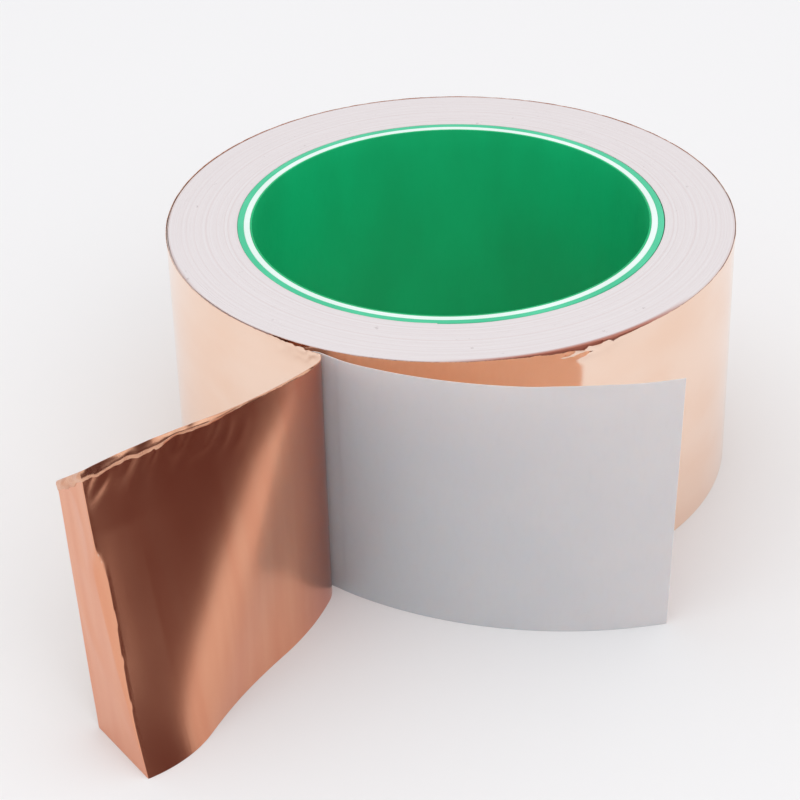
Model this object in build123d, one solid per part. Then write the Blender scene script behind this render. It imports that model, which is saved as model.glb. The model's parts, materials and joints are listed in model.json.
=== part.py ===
"""Copper foil tape roll: a 3 inch paper core, the wound tape, and the tape's free end.

The tape is three layers: copper foil outside, clear adhesive, and a release liner inside. Its last
turn ends at the peel line, where the foil is folded back and the liner is left standing on its edge.

Frame: millimetres. The core's axis is Z, the roll stands on the plane Z = 0, and its origin is on
the core's axis in that plane. The tape runs anticlockwise seen from above, towards the peel line.
"""

import os
from math import acos, cos, degrees, pi, radians, sin, sqrt

from build123d import *

# Driving dimensions (mm and degrees)
TAPE_WIDTH = 50.0
CORE_BORE_RADIUS = 38.1  # a 3 inch core
INNER_PLY = 0.4  # green paper that lines the bore
BOARD_WALL = 1.2  # white board between the plies
OUTER_PLY = 1.2  # pale green ply that the tape starts on
BUILD_UP = 13.4  # radial depth of the wound tape

FOIL = 0.06  # copper
ADHESIVE = 0.04  # clear acrylic
LINER = 0.12  # siliconised paper

PEEL_ANGLE = -115.0  # direction from the core's axis to the peel line
PEEL_LIFT = 1.3  # how far the peel line stands off the wound tape
FOLD_RADIUS = 1.6  # the foil's bend at the peel line
FOLD_TURN = 45.0  # the part of that bend that stays with the roll
LINER_LEAD = 4.0  # liner beyond the peel line that stays with the roll
JOINT_GAP = 0.15  # clearance between a tail and what it hangs on

# Each tail is followed along its lower and its upper edge, in steps of (length, turn).
# A positive turn is to the left, towards the core's axis where the tape is still wound.
FOIL_LOWER = [(4.0, -25.0), (18.0, -17.5), (24.0, 12.0), (15.0, -36.0)]
FOIL_UPPER = [(3.0, -47.0), (16.0, -10.0), (10.0, -8.0), (23.0, 14.0)]
LINER_LOWER = [(4.0, 5.0), (57.0, 45.0)]
LINER_UPPER = [(4.0, 10.5), (58.0, 40.0)]
END_LOWER = 16.6  # the creased end's edge along the floor
END_UPPER = 10.7  # its opposite edge, which slopes down from the crease
END_UPPER_ANGLE = 75.6  # between that edge and the crease
END_FOLD = -86.0  # turn at the crease along the floor

# What follows from them
BOARD_RADIUS = CORE_BORE_RADIUS + INNER_PLY
OUTER_PLY_RADIUS = BOARD_RADIUS + BOARD_WALL
WOUND_INNER_RADIUS = OUTER_PLY_RADIUS + OUTER_PLY
WOUND_RADIUS = WOUND_INNER_RADIUS + BUILD_UP
PITCH = FOIL + ADHESIVE + LINER
OUTSIDE_RADIUS = WOUND_RADIUS + PITCH
PEEL_RADIUS = WOUND_RADIUS + PEEL_LIFT

# Each layer lies between two distances to the left of the foil's outer face.
FOIL_SPAN = (0.0, FOIL)
ADHESIVE_SPAN = (FOIL, FOIL + ADHESIVE)
LINER_SPAN = (FOIL + ADHESIVE, PITCH)

TURN_QUARTERS = 4


def direction(angle):
    """Unit vector in the floor plane."""
    return Vector(cos(radians(angle)), sin(radians(angle)), 0)


def advance(point, heading, length, turn):
    """Where a path stands after one step: a straight run, or an arc that turns it."""
    if turn == 0:
        return point + direction(heading) * length, heading
    chord = 2 * length / radians(turn) * sin(radians(turn) / 2)
    return point + direction(heading + turn / 2) * chord, heading + turn


def beside(point, heading, distance, height):
    """The point a distance to the left of a path."""
    place = point + direction(heading + 90) * distance
    return Vector(place.X, place.Y, height)


def path_line(start, heading, steps, distance, height):
    """Edges that keep one distance to the left of a path."""
    edges = []
    point = start
    for length, turn in steps:
        middle, middle_heading = advance(point, heading, length / 2, turn / 2)
        end, end_heading = advance(point, heading, length, turn)
        first = beside(point, heading, distance, height)
        last = beside(end, end_heading, distance, height)
        if turn == 0:
            edges.append(Edge.make_line(first, last))
        else:
            through = beside(middle, middle_heading, distance, height)
            edges.append(Edge.make_three_point_arc(first, through, last))
        point, heading = end, end_heading
    return edges


def layer_outline(start, heading, steps, span, height):
    """Closed outline of one layer of tape seen from above."""
    near = path_line(start, heading, steps, span[0], height)
    far = path_line(start, heading, steps, span[1], height)
    cap_in = Edge.make_line(near[0] @ 0, far[0] @ 0)
    cap_out = Edge.make_line(near[-1] @ 1, far[-1] @ 1)
    return Wire(near + [cap_out] + far + [cap_in])


def upright_layer(start, heading, steps, span):
    """A layer of tape whose lower and upper edges follow the same path."""
    face = Face(layer_outline(start, heading, steps, span, 0))
    return Solid.extrude(face, Vector(0, 0, TAPE_WIDTH))


def leaning_layer(lower, upper, span):
    """A layer of tape ruled between two paths, each given as (start, heading, steps)."""
    outlines = [layer_outline(*lower, span, 0), layer_outline(*upper, span, TAPE_WIDTH)]
    return Solid.make_loft(outlines, ruled=True)


def end_of(start, heading, steps):
    """Where a path of steps ends."""
    for length, turn in steps:
        start, heading = advance(start, heading, length, turn)
    return start, heading


def ring(inner_radius, outer_radius):
    """A plain tube as tall as the tape is wide."""
    outer = Solid.make_cylinder(outer_radius, TAPE_WIDTH)
    return outer - Solid.make_cylinder(inner_radius, TAPE_WIDTH)


# The last turn. A spiral of four quarter arcs gains one tape thickness a turn, then a straight
# run leaves it along its tangent and reaches the peel line.
OFF_ANGLE = degrees(acos(OUTSIDE_RADIUS / PEEL_RADIUS))
LEAD = sqrt(PEEL_RADIUS**2 - OUTSIDE_RADIUS**2)
LEAVE_ANGLE = PEEL_ANGLE - OFF_ANGLE
LEAVE_HEADING = LEAVE_ANGLE + 90
QUARTER_GROWTH = PITCH / TURN_QUARTERS


def spiral_start():
    """Start of the last turn: its four arcs are walked back from where the tape leaves the roll."""
    point = direction(LEAVE_ANGLE) * OUTSIDE_RADIUS
    heading = LEAVE_HEADING
    for quarter in range(TURN_QUARTERS):
        radius = OUTSIDE_RADIUS - QUARTER_GROWTH * (quarter + 0.5)
        point, heading = advance(point, heading + 180, radius * pi / 2, -90)
        heading -= 180
    return point, heading


def spiral_steps():
    """The last turn as four quarter arcs, each a little wider than the one before."""
    radii = [OUTSIDE_RADIUS - QUARTER_GROWTH * (q + 0.5) for q in range(TURN_QUARTERS)]
    return [(radius * pi / 2, 90.0) for radius in reversed(radii)]


TURN_START, TURN_HEADING = spiral_start()
PEEL_POINT = direction(PEEL_ANGLE) * PEEL_RADIUS
LINER_HINGE = PEEL_POINT + direction(LEAVE_HEADING) * LINER_LEAD
FOIL_BEND = [(FOLD_RADIUS * radians(FOLD_TURN), -FOLD_TURN)]
FOIL_HINGE, FOIL_HEADING = end_of(PEEL_POINT, LEAVE_HEADING, FOIL_BEND)


def wound_turns():
    """All the turns under the last one, with the step that the last turn starts from."""
    inner_line = path_line(TURN_START, TURN_HEADING, spiral_steps(), PITCH, 0)
    step = Edge.make_line(inner_line[0] @ 0, inner_line[-1] @ 1)
    solid = Solid.extrude(Face(Wire(inner_line + [step])), Vector(0, 0, TAPE_WIDTH))
    return solid - Solid.make_cylinder(WOUND_INNER_RADIUS, TAPE_WIDTH)


def last_turn_layer(span, tail_steps):
    """One layer of the last turn, with the straight lead and what it carries past the peel line."""
    steps = spiral_steps() + [(LEAD, 0)] + tail_steps
    return upright_layer(TURN_START, TURN_HEADING, steps, span)


def foil_tail_paths():
    """Lower and upper paths of the folded-back foil, from just past its hinge."""
    start = FOIL_HINGE + direction(FOIL_HEADING) * JOINT_GAP
    return (start, FOIL_HEADING, FOIL_LOWER), (start, FOIL_HEADING, FOIL_UPPER)


def crease():
    """The crease's foot and top, and the direction of the creased end's edge along the floor."""
    lower, upper = foil_tail_paths()
    foot, heading = end_of(*lower)
    top, _ = end_of(*upper)
    return foot, top + Vector(0, 0, TAPE_WIDTH), direction(heading + END_FOLD)


def foil_end_layer(span):
    """One layer of the creased end: a flat plate in the plane of the crease and its lower edge."""
    foot, top, along_floor = crease()
    down = (foot - top).normalized()
    left = along_floor.cross(foot - top).normalized()
    out = down.cross(left)
    along_top = down * cos(radians(END_UPPER_ANGLE)) + out * sin(radians(END_UPPER_ANGLE))
    lower_edge = [foot + along_floor * reach for reach in (JOINT_GAP, END_LOWER)]
    upper_edge = [top + along_top * reach for reach in (END_UPPER, JOINT_GAP)]
    corners = [corner + left * span[0] for corner in lower_edge + upper_edge]
    return Solid.extrude(Face(Wire.make_polygon(corners)), left * (span[1] - span[0]))


def liner_tail_paths():
    """Lower and upper paths of the parted liner, from just past its hinge."""
    start = LINER_HINGE + direction(LEAVE_HEADING) * JOINT_GAP
    return (start, LEAVE_HEADING, LINER_LOWER), (start, LEAVE_HEADING, LINER_UPPER)


def build():
    liner_lead = [(LINER_LEAD, 0)]
    return {
        "core_inner_ply": ring(CORE_BORE_RADIUS, BOARD_RADIUS),
        "core_board": ring(BOARD_RADIUS, OUTER_PLY_RADIUS),
        "core_outer_ply": ring(OUTER_PLY_RADIUS, WOUND_INNER_RADIUS),
        "wound_turns": wound_turns(),
        "last_turn_foil": last_turn_layer(FOIL_SPAN, FOIL_BEND),
        "last_turn_adhesive": last_turn_layer(ADHESIVE_SPAN, FOIL_BEND),
        "last_turn_liner": last_turn_layer(LINER_SPAN, liner_lead),
        "foil_tail": leaning_layer(*foil_tail_paths(), FOIL_SPAN),
        "foil_tail_adhesive": leaning_layer(*foil_tail_paths(), ADHESIVE_SPAN),
        "foil_end": foil_end_layer(FOIL_SPAN),
        "foil_end_adhesive": foil_end_layer(ADHESIVE_SPAN),
        "liner_tail": leaning_layer(*liner_tail_paths(), LINER_SPAN),
    }


def main():
    os.makedirs("parts", exist_ok=True)
    for name, solid in build().items():
        export_step(solid, f"parts/{name}.step")
    lower, upper = foil_tail_paths()
    for label, point in (
        ("peel line", PEEL_POINT),
        ("foil hinge", FOIL_HINGE),
        ("liner hinge", LINER_HINGE),
        ("crease at the floor", end_of(*lower)[0]),
        ("crease at the top", end_of(*upper)[0]),
    ):
        print(f"{label}: {point.X:.3f}, {point.Y:.3f}")


if __name__ == "__main__":
    main()
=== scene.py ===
# %% [markdown]
# # A roll of copper foil tape
#
# Stained-glass makers wrap the edges of cut glass in copper foil tape and solder the foil. The tape
# is a strip of bright copper foil with a clear adhesive on its inner side and a paper release liner
# under that. It is wound on a paper core. On this roll the end has been peeled apart: the foil is
# folded back to the left and creased near its tip, and the liner stands on its edge to the right.
#
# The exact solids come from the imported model. Here each of them gets a detailed mesh and a finish.

import json
import math

import bmesh
import bpy
import numpy as np
from mathutils import Matrix, Vector, noise


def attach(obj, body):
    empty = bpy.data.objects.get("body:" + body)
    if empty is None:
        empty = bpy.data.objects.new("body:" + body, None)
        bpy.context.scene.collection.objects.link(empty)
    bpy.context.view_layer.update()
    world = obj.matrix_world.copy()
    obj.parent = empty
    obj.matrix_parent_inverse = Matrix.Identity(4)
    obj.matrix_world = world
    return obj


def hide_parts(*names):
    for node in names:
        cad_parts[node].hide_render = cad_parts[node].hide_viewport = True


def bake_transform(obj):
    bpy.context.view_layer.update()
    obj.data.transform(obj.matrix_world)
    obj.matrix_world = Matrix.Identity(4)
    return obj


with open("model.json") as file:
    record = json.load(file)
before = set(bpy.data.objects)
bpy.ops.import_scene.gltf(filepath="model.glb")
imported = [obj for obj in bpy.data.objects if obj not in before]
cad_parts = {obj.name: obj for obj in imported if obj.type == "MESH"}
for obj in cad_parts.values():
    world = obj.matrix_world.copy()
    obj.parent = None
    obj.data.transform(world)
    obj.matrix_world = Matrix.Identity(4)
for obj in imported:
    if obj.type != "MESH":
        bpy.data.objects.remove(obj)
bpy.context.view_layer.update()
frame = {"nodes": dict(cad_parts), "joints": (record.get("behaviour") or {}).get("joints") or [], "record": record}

# %% [markdown]
# ## Sizes that everything follows
#
# The radii of the core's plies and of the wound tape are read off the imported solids, so this file
# can't drift away from them. Only the thickness of each layer, the bend at the peel line and the
# runs of the loose ends are given as numbers. The roll stands on the plane z = 0, round the z axis.

# %% Radii, heights and layer thicknesses, in metres
MM = 0.001


def widest_radius(node):
    """Largest distance from the roll's axis to a solid's surface."""
    return max(math.hypot(v.co.x, v.co.y) for v in frame["nodes"][node].data.vertices)


mounts = {mount["name"]: mount for mount in frame["record"]["mounts"]}
bore_radius = mounts["core_bore"]["dims"]["r_mm"] * MM
tape_width = mounts["core_bore"]["dims"]["length_mm"] * MM
inner_ply_radius = widest_radius("core_inner_ply")
board_radius = widest_radius("core_board")
outer_ply_radius = widest_radius("core_outer_ply")
wound_radius = widest_radius("wound_turns")

FOIL_AND_ADHESIVE = 0.10 * MM
PITCH = 0.22 * MM  # foil, adhesive and liner: what each turn adds to the radius
LINER_THICKNESS = PITCH - FOIL_AND_ADHESIVE
outside_radius = wound_radius + PITCH
print("radii, mm:", [round(r / MM, 2) for r in (bore_radius, outer_ply_radius, outside_radius)])

# %% [markdown]
# ## Following the tape along the floor
#
# Seen from above, every stretch of the tape is a path of short arcs, and an arc is a length and a
# turn. A positive turn is to the left, towards the roll. The free ends hang on the model's hinges,
# so each path starts at the place where the model puts its hinge.

# %% Paths made of (length in mm, turn in degrees) steps
FOIL_LOWER = [(4.0, -25.0), (18.0, -17.5), (24.0, 12.0), (15.0, -36.0)]
FOIL_UPPER = [(3.0, -47.0), (16.0, -10.0), (10.0, -8.0), (23.0, 14.0)]
LINER_LOWER = [(4.0, 5.0), (57.0, 45.0)]
LINER_UPPER = [(4.0, 10.5), (58.0, 40.0)]
FOLD_RADIUS = 1.6 * MM
FOLD_TURN = 45.0
LINER_LEAD = 4.0 * MM
JOINT_GAP = 0.15 * MM
SAMPLE = 0.05 * MM


def direction(heading):
    """Unit vector along a heading in degrees."""
    return np.array([math.cos(math.radians(heading)), math.sin(math.radians(heading))])


class Path:
    """A line on the floor, walked in small steps and then read by its distance from the start."""

    def __init__(self, start, heading):
        self.points, self.heading = [np.array(start, float)], heading

    def walk(self, length, turn):
        count = max(1, round(length / SAMPLE))
        for _ in range(count):
            self.heading += turn / count / 2
            self.points.append(self.points[-1] + direction(self.heading) * length / count)
            self.heading += turn / count / 2
        return self

    def finish(self):
        self.points = np.array(self.points)
        steps = np.linalg.norm(np.diff(self.points, axis=0), axis=1)
        self.distance = np.concatenate([[0], np.cumsum(steps)])
        self.length = self.distance[-1]
        return self

    def at(self, distance, height):
        """Points at these distances along the path, lifted to these heights."""
        flat = [np.interp(distance, self.distance, self.points[:, k]) for k in range(2)]
        return np.stack([*flat, np.broadcast_to(height, np.shape(flat[0]))], -1)


def free_end(start, heading, steps):
    """The path of a loose end, from its hinge."""
    path = Path(start, heading).walk(JOINT_GAP, 0)
    for length, turn in steps:
        path.walk(length * MM, turn)
    return path.finish()


print("one step along a path, mm:", round(SAMPLE / MM, 2))

# %% [markdown]
# The tape leaves the roll along a tangent. The tangent through the liner's hinge gives the place
# where it leaves, its heading, and the peel line four millimetres before that hinge.

# %% Where the tape leaves the roll
joints = {joint["name"]: joint for joint in frame["joints"]}
foil_hinge = np.array(joints["foil_fold"]["pos_m"])[:2]
liner_hinge = np.array(joints["liner_swing"]["pos_m"])[:2]

reach = np.linalg.norm(liner_hinge)
leave_angle = math.degrees(math.atan2(liner_hinge[1], liner_hinge[0]))
leave_angle -= math.degrees(math.acos(outside_radius / reach))
leave_heading = leave_angle + 90
peel_point = liner_hinge - direction(leave_heading) * LINER_LEAD
fold_heading = leave_heading - FOLD_TURN

foil_low = free_end(foil_hinge, fold_heading, FOIL_LOWER)
foil_high = free_end(foil_hinge, fold_heading, FOIL_UPPER)
liner_low = free_end(liner_hinge, leave_heading, LINER_LOWER)
liner_high = free_end(liner_hinge, leave_heading, LINER_UPPER)
print("leaves the roll at", round(leave_angle, 1), "deg, heading", round(leave_heading, 1))

# %% [markdown]
# ## Writing shader maths as Python
#
# A finish is a small network of nodes. Wiring Math nodes by hand is hard to read, so a socket is
# wrapped in a class whose operators add the Math nodes. Every other node comes from one method: it
# takes the node's type, its settings, and the values or links of its sockets. The same two classes
# serve shaders and Geometry Nodes, because both kinds of tree use the same Math node.


# %% A number that nodes work out, and the graph that makes it
class Number:
    """The output of a node, which Python's operators combine into Math nodes."""

    def __init__(self, graph, socket):
        self.graph, self.socket = graph, socket

    def math(self, operation, *values):
        values = dict(enumerate(values))
        made = self.graph.node("ShaderNodeMath", {"operation": operation}, values)
        return Number(self.graph, made.outputs[0])

    def __add__(self, other):
        return self.math("ADD", self, other)

    def __sub__(self, other):
        return self.math("SUBTRACT", self, other)

    def __rsub__(self, other):
        return self.math("SUBTRACT", other, self)

    def __mul__(self, other):
        return self.math("MULTIPLY", self, other)

    def __truediv__(self, other):
        return self.math("DIVIDE", self, other)

    def __pow__(self, other):
        return self.math("POWER", self, other)

    __radd__, __rmul__ = __add__, __mul__

    def above(self, low, high):
        """0 under low, 1 over high, and a smooth rise between them."""
        kept = {"interpolation_type": "SMOOTHSTEP"}
        ends = {"Value": self, "From Min": low, "From Max": high}
        return Number(self.graph, self.graph.node("ShaderNodeMapRange", kept, ends).outputs[0])


class Graph:
    """A node tree that is built in code."""

    def __init__(self, tree):
        self.tree = tree

    def node(self, kind, settings=(), sockets=()):
        """One node of any type: its settings first, then its sockets' values or links."""
        made = self.tree.nodes.new(kind)
        for key, value in dict(settings).items():
            setattr(made, key, value)
        for key, value in dict(sockets).items():
            self.feed(made.inputs[key], value)
        return made

    def feed(self, socket, value):
        value = value.socket if isinstance(value, Number) else value
        if isinstance(value, bpy.types.NodeSocket):
            self.tree.links.new(value, socket)
        else:
            socket.default_value = value

    def number(self, *args):
        """The first output of a new node, as a number."""
        return Number(self, self.node(*args).outputs[0])


def linear(channel):
    """One channel of a screen colour, from 0 to 255, in linear light."""
    return channel / 255 / 12.92 if channel < 11 else ((channel / 255 + 0.055) / 1.055) ** 2.4


def paint(red, green, blue):
    """A colour as it looks on screen, turned into the linear light that nodes use."""
    return (linear(red), linear(green), linear(blue), 1.0)


print("screen grey 128 in linear light:", round(linear(128), 3))

# %% [markdown]
# ## Finishes
#
# A finish starts from a Principled shader. What is the same all over is set on the shader itself,
# and what varies is worked out from the surface: from its place on the object, or from the sheet's
# own UV map, which is in metres along and across the tape, so that a pattern follows every bend.


# %% A base for all finishes
class Finish(Graph):
    """A material with one Principled shader, and the patterns that the finishes share."""

    def __init__(self, name, **constants):
        self.material = bpy.data.materials.new(name)
        self.material.use_nodes = True
        super().__init__(self.material.node_tree)
        self.shader = self.tree.nodes["Principled BSDF"]
        for key, value in constants.items():
            self.socket(key).default_value = value

    def socket(self, key):
        """The shader's socket for a Python name, such as Coat IOR for coat_ior."""
        return self.shader.inputs[key.replace("_", " ").title().replace("Ior", "IOR")]

    def coordinates(self, source):
        """The first two coordinates on the object or on the UV map, as numbers."""
        where = self.node("ShaderNodeTexCoord").outputs[source]
        split = self.node("ShaderNodeSeparateXYZ", {}, {0: where})
        return Number(self, split.outputs[0]), Number(self, split.outputs[1])

    def place(self, stretch, source="Object"):
        """Coordinates on the object or on the sheet's UV map, stretched by three factors."""
        where = self.node("ShaderNodeTexCoord").outputs[source]
        return self.node("ShaderNodeMapping", {}, {"Vector": where, "Scale": stretch}).outputs[0]

    def cloud(self, stretch, detail=3.0, source="Object"):
        """A soft random pattern from 0 to 1, with so many lumps a metre each way."""
        sockets = {"Vector": self.place(stretch, source), "Scale": 1.0, "Detail": detail}
        return self.number("ShaderNodeTexNoise", {}, sockets)

    def blend(self, share, first, second):
        """A mix of two colours by a varying share."""
        mixed = self.node("ShaderNodeMix", {"data_type": "RGBA"}, {0: share, 6: first, 7: second})
        return mixed.outputs[2]

    def relief(self, height, depth, after=None):
        """A bump from a height pattern of that depth in metres."""
        sockets = {"Height": height, "Distance": depth, "Strength": 1.0}
        if after is not None:
            sockets["Normal"] = after
        return self.node("ShaderNodeBump", {}, sockets).outputs[0]

    def use(self, **sockets):
        """Feeds what varies into the shader and gives back the material."""
        for key, value in sockets.items():
            self.feed(self.socket(key), value)
        return self.material


print("all finishes share one kind of shader: Principled BSDF")

# %% [markdown]
# **Copper.** Rolled foil is nearly a mirror, with fine rolling lines along the strip, shallow dents
# where it has been pressed, and a slightly duller bloom here and there. A metal takes its whole look
# from what it reflects, so the base colour hardly varies and the roughness and the bumps do.


# %% Bright copper, for the outer side of the foil
def bright_copper():
    finish = Finish("bright_copper", metallic=1.0)
    lines = finish.cloud((60, 9000, 1), 2.0, "UV")
    dents = finish.cloud((110, 110, 1), 2.0, "UV")
    bloom = finish.cloud((45, 70, 1), 4.0, "UV")
    colour = finish.blend(bloom.above(0.35, 0.7), (0.965, 0.735, 0.60, 1), (0.945, 0.68, 0.53, 1))
    bump = finish.relief(lines, 0.004 * MM, finish.relief(dents, 0.03 * MM))
    return finish.use(
        base_color=colour, roughness=0.07 + bloom * 0.08 + lines * 0.03, normal=bump
    )


copper = bright_copper()
print("finish:", copper.name)

# %% [markdown]
# ** Adhesive side.** Behind a clear acrylic film the same copper looks brown and satin. A real second
# layer of film would need refraction, so a clear coat over a browner metal stands for it. The film
# has darker, redder streaks across the strip and a fine grain. Beside the peel line the colour is
# painted darker and redder: painted shade and reflection of the liner that the foil mirrors there.


# %% Copper seen through the adhesive
def adhesive_copper():
    finish = Finish("adhesive_copper", metallic=1.0, coat_roughness=0.22, coat_ior=1.45)
    streaks = finish.cloud((260, 26, 1), 3.0, "UV")
    grain = finish.cloud((2600, 2600, 1), 2.0, "UV")
    wash = finish.cloud((40, 40, 1), 3.0, "UV")
    streaked = finish.blend(streaks.above(0.3, 0.7), (0.84, 0.40, 0.245, 1), (0.80, 0.345, 0.205, 1))
    grained = finish.blend(grain.above(0.2, 0.9) * 0.2, streaked, (0.68, 0.27, 0.16, 1))
    # painted shade and reflection: darker and redder beside the peel line, where the foil mirrors the liner
    from_fold, _ = finish.coordinates("UV")
    fold_shade_painted = 1 - from_fold.above(3 * MM, 19 * MM)
    colour = finish.blend(fold_shade_painted * 0.8, grained, (0.60, 0.19, 0.12, 1))
    bump = finish.relief(streaks, 0.02 * MM)
    return finish.use(
        base_color=colour,
        roughness=0.2 + wash * 0.08,
        coat_weight=0.25 + wash * 0.2,
        normal=bump,
    )


adhesive_side = adhesive_copper()
print("finish:", adhesive_side.name)

# %% [markdown]
# **Cut copper edge.** The slit edge of the foil is bare metal: brighter on its burrs and brown in
# its recesses. It is too thin for a UV pattern, so it reads its place on the object. Where the foil
# has been turned over and fingered, its bright side is duller and browner. That is a finish too.


# %% The slit edge and the handled lip
def cut_copper():
    finish = Finish("cut_copper", metallic=1.0)
    burr = finish.cloud((2500, 2500, 900), 3.0)
    colour = finish.blend(burr.above(0.35, 0.65), paint(150, 92, 72), paint(236, 190, 160))
    bump = finish.relief(burr, 0.03 * MM)
    return finish.use(base_color=colour, roughness=0.25 + burr * 0.3, normal=bump)


def handled_copper():
    """The foil's outer side where it has been creased and fingered: duller and browner."""
    finish = Finish("handled_copper", metallic=1.0)
    smear = finish.cloud((240, 500, 1), 4.0, "UV")
    colour = finish.blend(smear.above(0.3, 0.7), (0.80, 0.46, 0.31, 1), (0.66, 0.32, 0.20, 1))
    bump = finish.relief(smear, 0.05 * MM)
    return finish.use(base_color=colour, roughness=0.2 + smear * 0.15, normal=bump)


cut_edge, lip_copper = cut_copper(), handled_copper()
print("finishes:", cut_edge.name, lip_copper.name)

# %% [markdown]
# **Release liner.** Siliconised paper: pale grey, smooth, with a soft gloss over faint fibres. It is
# so thin that light comes through it. A translucent shader would do that too, but light scattered
# under the surface keeps one shader, and the warm end of it reaches further, as in real paper.


# %% Siliconised paper
THIN_PAPER = {
    "metallic": 0.0,
    "subsurface_weight": 0.9,
    "subsurface_radius": (1.0, 0.62, 0.5),
    "subsurface_scale": 1.0 * MM,
}


def liner_paper():
    finish = Finish("liner_face_paper", coat_roughness=0.2, **THIN_PAPER)
    fibre = finish.cloud((900, 350, 1), 5.0, "UV")
    cloudy = finish.cloud((70, 70, 1), 3.0, "UV")
    base = finish.blend(cloudy.above(0.3, 0.7), paint(188, 191, 195), paint(192, 193, 196))
    colour = finish.blend(fibre.above(0.45, 0.9) * 0.22, base, paint(179, 181, 185))
    bump = finish.relief(fibre, 0.004 * MM)
    return finish.use(
        base_color=colour,
        roughness=0.34 + cloudy * 0.1 + fibre * 0.08,
        coat_weight=0.15 + cloudy * 0.1,
        normal=bump,
    )


def liner_back_copper_lit():
    """The liner's uncoated back: matt paper with more fibre, painted a warm tan for the copper light on it."""
    finish = Finish("liner_back_copper_lit", **THIN_PAPER)
    fibre = finish.cloud((1200, 500, 1), 5.0, "UV")
    # painted light: the warm tan stands for copper-coloured light that the roll throws on the liner's back
    colour = finish.blend(fibre, paint(236, 196, 184), paint(224, 180, 166))
    return finish.use(
        base_color=colour, roughness=0.6 + fibre * 0.15, normal=finish.relief(fibre, 0.01 * MM)
    )


def cut_paper():
    finish = Finish("cut_paper_edge", metallic=0.0)
    fibre = finish.cloud((3000, 3000, 1500), 3.0)
    colour = finish.blend(fibre, paint(238, 230, 222), paint(214, 200, 196))
    return finish.use(
        base_color=colour, roughness=0.6 + fibre * 0.2, normal=finish.relief(fibre, 0.02 * MM)
    )


liner_face, liner_back, liner_edge = liner_paper(), liner_back_copper_lit(), cut_paper()
print("finishes:", liner_face.name, liner_back.name, liner_edge.name)

# %% [markdown]
# **Wound edges.** The flat face of the roll is some sixty slit edges side by side. It reads as pale
# paper with hair-thin rings, a pinkish cast where the copper shows between the liners, a few dark
# nicks, and a darker ring beside the core and beside the outer turn. The rings depend only on the
# distance from the axis, so that distance is worked out first. At one place the rim has been
# crushed, and there the outermost turns are bruised brown.


# %% The face of wound edges
DAMAGE_ANGLE = -65.0
DAMAGE_SPREAD = 16.0
BRUISE_STARTS, BRUISE_FULL = 30.0, 10.0  # degrees to either side of the damage


def wound_edge_paper():
    finish = Finish("wound_edge_paper", metallic=0.0)
    x, y = finish.coordinates("Object")
    radius = (x * x + y * y) ** 0.5
    along = {"noise_dimensions": "1D"}
    ring = finish.number("ShaderNodeTexNoise", along, {"W": radius * 2600.0, "Detail": 4.0})
    band = finish.number("ShaderNodeTexNoise", along, {"W": radius * 420.0, "Detail": 2.0})
    nicks = finish.cloud((420, 420, 40), 2.0)
    marks = nicks.above(0.70, 0.76) * ring.above(0.45, 0.6)
    by_core = 1 - radius.above(outer_ply_radius + 0.05 * MM, outer_ply_radius + 0.55 * MM)
    by_rim = radius.above(wound_radius - 0.5 * MM, wound_radius)
    towards = direction(DAMAGE_ANGLE)
    facing = (x * float(towards[0]) + y * float(towards[1])) / radius
    low, high = (math.cos(math.radians(angle)) for angle in (BRUISE_STARTS, BRUISE_FULL))
    outermost = (radius + ring * 0.5 * MM).above(wound_radius - 0.9 * MM, wound_radius - 0.15 * MM)
    bruise = facing.above(low, high) * outermost
    pink = ring.above(0.35, 0.75) * 0.35 + band.above(0.4, 0.8) * 0.3 + by_core * 0.5 + by_rim * 0.6
    pale = finish.blend(band, paint(234, 230, 231), paint(224, 215, 216))
    tinted = finish.blend(pink * 0.42, pale, paint(206, 176, 170))
    nicked = finish.blend(marks * 0.6, tinted, paint(120, 92, 88))
    colour = finish.blend(bruise * 0.9, nicked, paint(172, 88, 58))
    bump = finish.relief(ring, 0.03 * MM, finish.relief(nicks, 0.05 * MM))
    return finish.use(base_color=colour, roughness=0.55 + ring * 0.2, normal=bump)


wound_face = wound_edge_paper()
print("finish:", wound_face.name)

# %% [markdown]
# **Core papers.** The core is three papers: a green coated ply inside with a satin surface, white
# board, and a pale green ply outside. They differ in colour, dullness and the depth of their
# fibres, so one function makes all three.


# %% The three papers of the core
def core_paper(name, light, dark, dullness, depth):
    """Paper in two tones, with a mottle, fibres, a roughness and the depth of its texture."""
    finish = Finish(name, metallic=0.0, coat_roughness=0.3, specular_ior_level=0.3)
    fibre = finish.cloud((1500, 1500, 500), 4.0)
    mottle = finish.cloud((60, 60, 25), 3.0)
    mottled = finish.blend(mottle.above(0.3, 0.7), light, dark)
    colour = finish.blend(fibre.above(0.5, 0.85) * 0.3, mottled, dark)
    bump = finish.relief(fibre, depth)
    return finish.use(
        base_color=colour,
        roughness=dullness + fibre * 0.15,
        coat_weight=0.05 + mottle * 0.1,
        normal=bump,
    )


papers = [
    ("core_green_paper", paint(0, 188, 120), paint(0, 176, 110), 0.5, 0.012 * MM),
    ("core_white_board", paint(236, 250, 245), paint(226, 243, 236), 0.6, 0.03 * MM),
    ("core_pale_paper", paint(84, 208, 162), paint(66, 196, 148), 0.6, 0.03 * MM),
]
green_paper, white_board, pale_paper = (core_paper(*paper) for paper in papers)
print("finishes:", green_paper.name, white_board.name, pale_paper.name)

# %% [markdown]
# ## The core
#
# Each ply is a tube with slightly rounded lips, so it is turned like a vase: a closed profile is
# carried round the axis. A cylinder with a bevel would do too, but a profile gives each lip and the
# rows up the wall in one go. The inside wall stays on the model's bore, the real interface.

# %% The profile of a tube's wall
LIP = 0.14 * MM
LIP_STEPS = 4
WALL_ROWS = 12


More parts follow.
